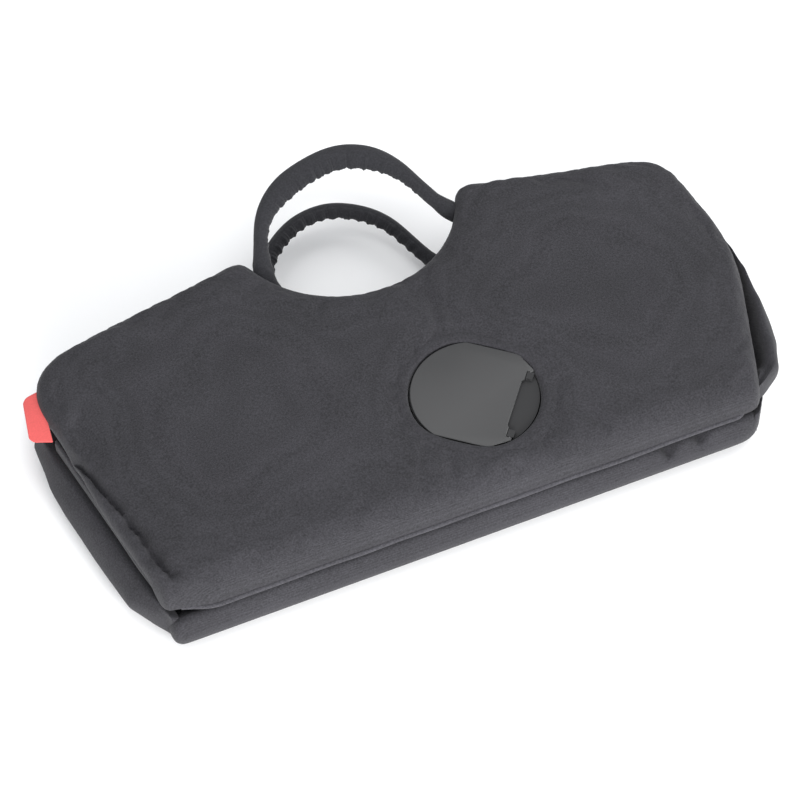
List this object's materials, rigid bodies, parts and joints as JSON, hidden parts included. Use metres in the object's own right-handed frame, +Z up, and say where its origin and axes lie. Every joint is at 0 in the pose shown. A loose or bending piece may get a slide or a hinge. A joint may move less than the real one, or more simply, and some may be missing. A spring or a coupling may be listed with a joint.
{
  "type": "folding soft carrycot",
  "caption": "Soft padded carrycot folded flat: two shaped side walls with round hinged-cover hubs, fold-up base, folding end gussets and two sleeved loop handles.",
  "frame": {"origin": "middle of the bounding box of the folded carrycot, on the surface it lies on", "axes": "+X along the length towards the head end, +Y from the base towards the handles, +Z up through the folded thickness"},
  "size_m": [0.8172, 0.493, 0.1221],
  "materials": {
    "cover_cloth": "fine plain weave with a slight sheen, padded",
    "lining": "matt lining cloth",
    "foam": "open-cell foam",
    "board": "raw hardboard",
    "hub_plastic": "satin moulded",
    "hub_base_plastic": "satin moulded",
    "steel": "zinc plated",
    "webbing": "woven webbing",
    "handle_sleeve": "gathered cloth over padding",
    "tag": "woven coral red tag, blank"
  },
  "bodies": {
    "back_wall": {"back_wall_cover": "cover_cloth", "back_wall_foam": "foam", "back_wall_board": "board", "back_wall_lining": "lining", "back_hub_base": "hub_base_plastic", "back_hub_hinge_pin_1": "steel", "back_hub_hinge_pin_2": "steel", "back_hub_backing_ring": "hub_base_plastic", "back_hub_screw_1": "steel", "back_hub_screw_2": "steel", "back_hub_screw_3": "steel", "back_hub_screw_4": "steel", "back_handle_tab_foot": "webbing", "back_handle_tab_head": "webbing"},
    "base_back": {"base_back_cover": "cover_cloth", "base_back_board": "board", "base_back_pad": "lining"},
    "base_front": {"base_front_cover": "cover_cloth", "base_front_board": "board", "base_front_pad": "lining"},
    "front_wall": {"front_wall_cover": "cover_cloth", "front_wall_foam": "foam", "front_wall_board": "board", "front_wall_lining": "lining", "front_hub_base": "hub_base_plastic", "front_hub_hinge_pin_1": "steel", "front_hub_hinge_pin_2": "steel", "front_hub_backing_ring": "hub_base_plastic", "front_hub_screw_1": "steel", "front_hub_screw_2": "steel", "front_hub_screw_3": "steel", "front_hub_screw_4": "steel", "front_handle_tab_foot": "webbing", "front_handle_tab_head": "webbing", "side_tag": "tag"},
    "foot_end_back": {"foot_end_back": "lining"},
    "foot_end_front": {"foot_end_front": "lining"},
    "head_end_back": {"head_end_back": "lining"},
    "head_end_front": {"head_end_front": "lining"},
    "front_handle": {"front_handle_sleeve": "handle_sleeve", "front_handle_core": "webbing"},
    "back_handle": {"back_handle_sleeve": "handle_sleeve", "back_handle_core": "webbing"},
    "front_hub_cover": {"front_hub_cover": "hub_plastic"},
    "back_hub_cover": {"back_hub_cover": "hub_plastic"}
  },
  "joints": [
    {"name": "base_back_fold", "type": "hinge", "parent": "back_wall", "child": "base_back", "pos_m": [0.01312, -0.22654, 0.047], "axis": [1, 0, 0], "range_deg": [0, 90]},
    {"name": "base_crease", "type": "hinge", "parent": "base_back", "child": "base_front", "pos_m": [0.01312, -0.07754, 0.0475], "axis": [1, 0, 0], "range_deg": [-180, 0]},
    {"name": "front_wall_hinge", "type": "hinge", "parent": "base_front", "child": "front_wall", "pos_m": [0.01312, -0.20854, 0.048], "axis": [1, 0, 0], "range_deg": [0, 90]},
    {"name": "foot_end_back_fold", "type": "hinge", "parent": "back_wall", "child": "foot_end_back", "pos_m": [-0.35276, -0.12854, 0.047], "axis": [0.1743, -0.9847, 0], "range_deg": [0, 90]},
    {"name": "foot_end_front_fold", "type": "hinge", "parent": "front_wall", "child": "foot_end_front", "pos_m": [-0.34958, -0.12854, 0.048], "axis": [-0.1743, 0.9847, 0], "range_deg": [0, 90]},
    {"name": "head_end_back_fold", "type": "hinge", "parent": "back_wall", "child": "head_end_back", "pos_m": [0.37367, -0.12854, 0.047], "axis": [0.2036, 0.979, 0], "range_deg": [0, 90]},
    {"name": "head_end_front_fold", "type": "hinge", "parent": "front_wall", "child": "head_end_front", "pos_m": [0.36992, -0.12854, 0.048], "axis": [-0.2036, -0.979, 0], "range_deg": [0, 90]},
    {"name": "front_handle_swing", "type": "hinge", "parent": "front_wall", "child": "front_handle", "pos_m": [0.02362, 0.14346, 0.078], "axis": [1, 0, 0], "range_deg": [-30, 60]},
    {"name": "back_handle_swing", "type": "hinge", "parent": "back_wall", "child": "back_handle", "pos_m": [0.02362, 0.12546, 0.017], "axis": [1, 0, 0], "range_deg": [-6, 25]},
    {"name": "front_hub_cover_hinge", "type": "hinge", "parent": "front_wall", "child": "front_hub_cover", "pos_m": [0.09659, -0.15284, 0.0924], "axis": [0.6334, 0.7738, 0], "range_deg": [0, 105]},
    {"name": "back_hub_cover_hinge", "type": "hinge", "parent": "back_wall", "child": "back_hub_cover", "pos_m": [0.09659, -0.17084, 0.0026], "axis": [-0.6334, -0.7738, 0], "range_deg": [0, 105]}
  ],
  "couplings": [
    {"joint": "base_crease", "follows": "base_back_fold", "ratio": -2},
    {"joint": "front_wall_hinge", "follows": "base_back_fold", "ratio": 1},
    {"joint": "foot_end_back_fold", "follows": "base_back_fold", "ratio": 1},
    {"joint": "foot_end_front_fold", "follows": "base_back_fold", "ratio": 1},
    {"joint": "head_end_back_fold", "follows": "base_back_fold", "ratio": 1},
    {"joint": "head_end_front_fold", "follows": "base_back_fold", "ratio": 1}
  ]
}
